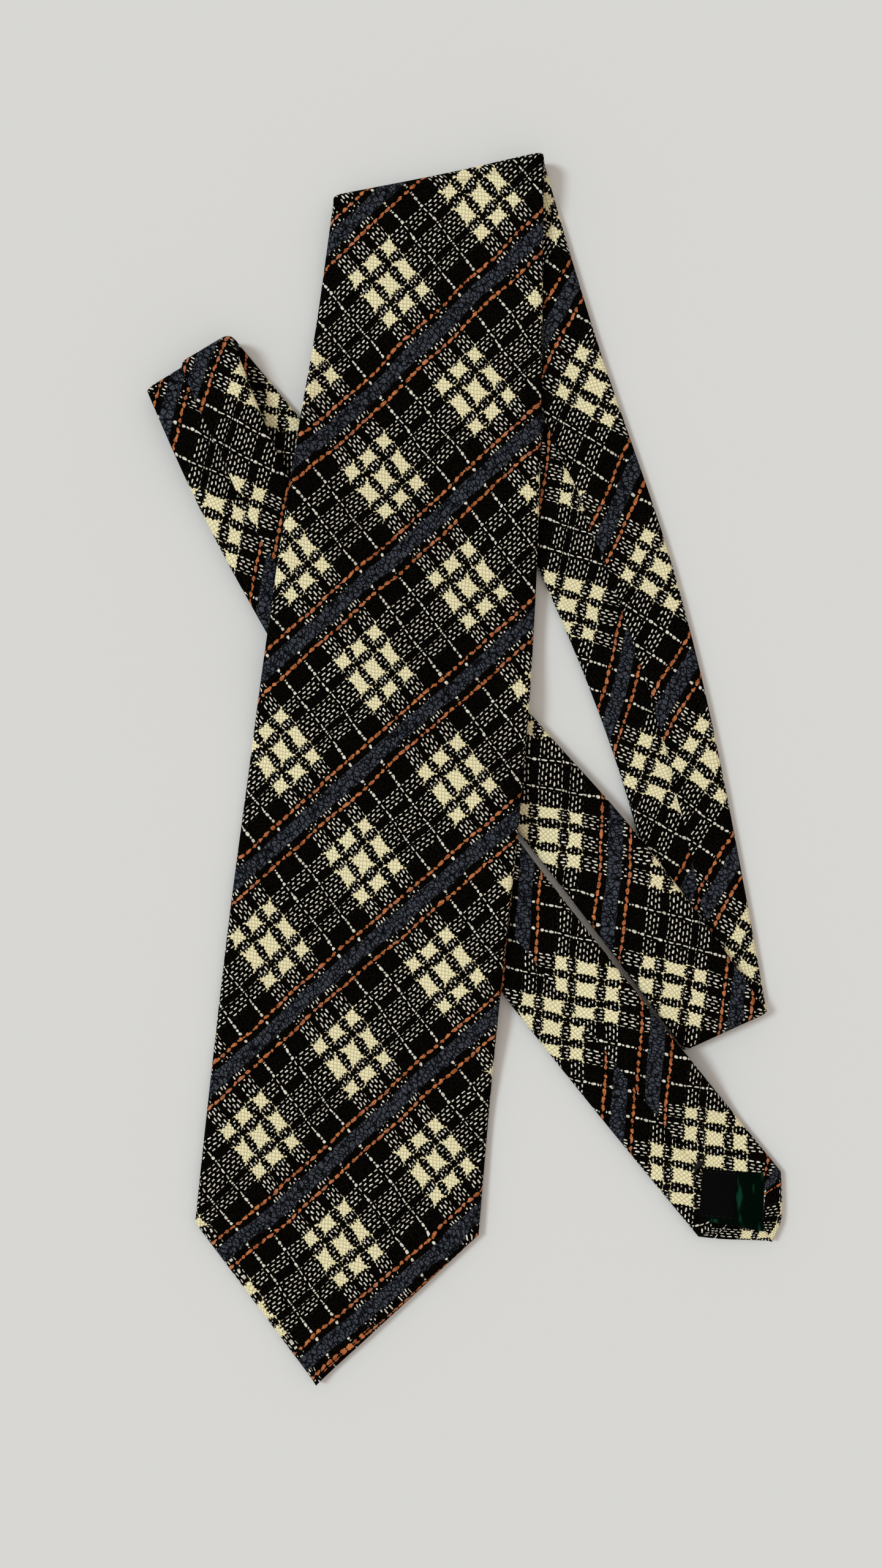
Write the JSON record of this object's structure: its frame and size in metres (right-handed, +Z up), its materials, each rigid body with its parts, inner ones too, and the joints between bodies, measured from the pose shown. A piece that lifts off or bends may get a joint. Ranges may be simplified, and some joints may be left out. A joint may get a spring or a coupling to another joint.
{
  "type": "necktie",
  "caption": "Folded wide necktie in patterned jacquard cloth, with interlining, satin tippings, keeper loop and blank label; its three folds open together.",
  "frame": {"origin": "on the table, under the middle of the folded tie", "axes": "+Z up from the table, +Y from the blade's point towards the top fold, +X towards the corner fold"},
  "size_m": [0.227, 0.4401, 0.0094],
  "materials": {
    "jacquard_cloth": "coarse jacquard weave, matt",
    "interlining": "brushed wool canvas",
    "satin_lining": "dark green satin",
    "woven_label": "black woven damask",
    "keeper_ribbon": "black woven ribbon",
    "thread": "black sewing thread"
  },
  "bodies": {
    "back_stretch": {"blade_shell_back": "jacquard_cloth", "neck_shell_back": "jacquard_cloth", "interlining_back": "interlining", "slip_stitch_back": "thread", "blade_join_seam": "thread"},
    "blade_stretch": {"blade_shell_front": "jacquard_cloth", "blade_shell_fold": "jacquard_cloth", "interlining_blade": "interlining", "interlining_top_fold": "interlining", "blade_tipping": "satin_lining", "blade_tipping_seam": "thread", "slip_stitch_blade": "thread", "blade_bar_tack": "thread", "keeper_loop": "keeper_ribbon", "keeper_loop_stitches": "thread"},
    "neck_stretch": {"neck_shell_front": "jacquard_cloth", "tail_shell_front": "jacquard_cloth", "neck_shell_fold": "jacquard_cloth", "interlining_neck": "interlining", "interlining_corner_fold": "interlining", "slip_stitch_neck": "thread", "tail_join_seam": "thread"},
    "tail_stretch": {"tail_shell_back": "jacquard_cloth", "tail_shell_fold": "jacquard_cloth", "interlining_tail": "interlining", "interlining_left_fold": "interlining", "tail_tipping": "satin_lining", "tail_tipping_seam": "thread", "slip_stitch_tail": "thread", "tail_bar_tack": "thread", "tail_label": "woven_label", "tail_label_stitches": "thread"}
  },
  "joints": [
    {"name": "top_fold", "type": "hinge", "parent": "back_stretch", "child": "blade_stretch", "pos_m": [-0.0091, 0.21195, 0.0031], "axis": [-0.982, -0.1887, 0], "range_deg": [0, 170], "deforming": ["blade_shell_fold", "interlining_top_fold"]},
    {"name": "corner_fold", "type": "hinge", "parent": "back_stretch", "child": "neck_stretch", "pos_m": [0.0935, -0.09435, 0.0031], "axis": [0.9096, 0.4154, 0], "range_deg": [0, 38], "deforming": ["neck_shell_fold", "interlining_corner_fold"]},
    {"name": "left_fold", "type": "hinge", "parent": "neck_stretch", "child": "tail_stretch", "pos_m": [-0.0987, 0.1459, 0.0031], "axis": [-0.871, -0.4913, 0], "range_deg": [0, 111], "deforming": ["tail_shell_fold", "interlining_left_fold"]}
  ],
  "couplings": [
    {"joint": "corner_fold", "follows": "top_fold", "ratio": 0.22},
    {"joint": "left_fold", "follows": "top_fold", "ratio": 0.65}
  ]
}
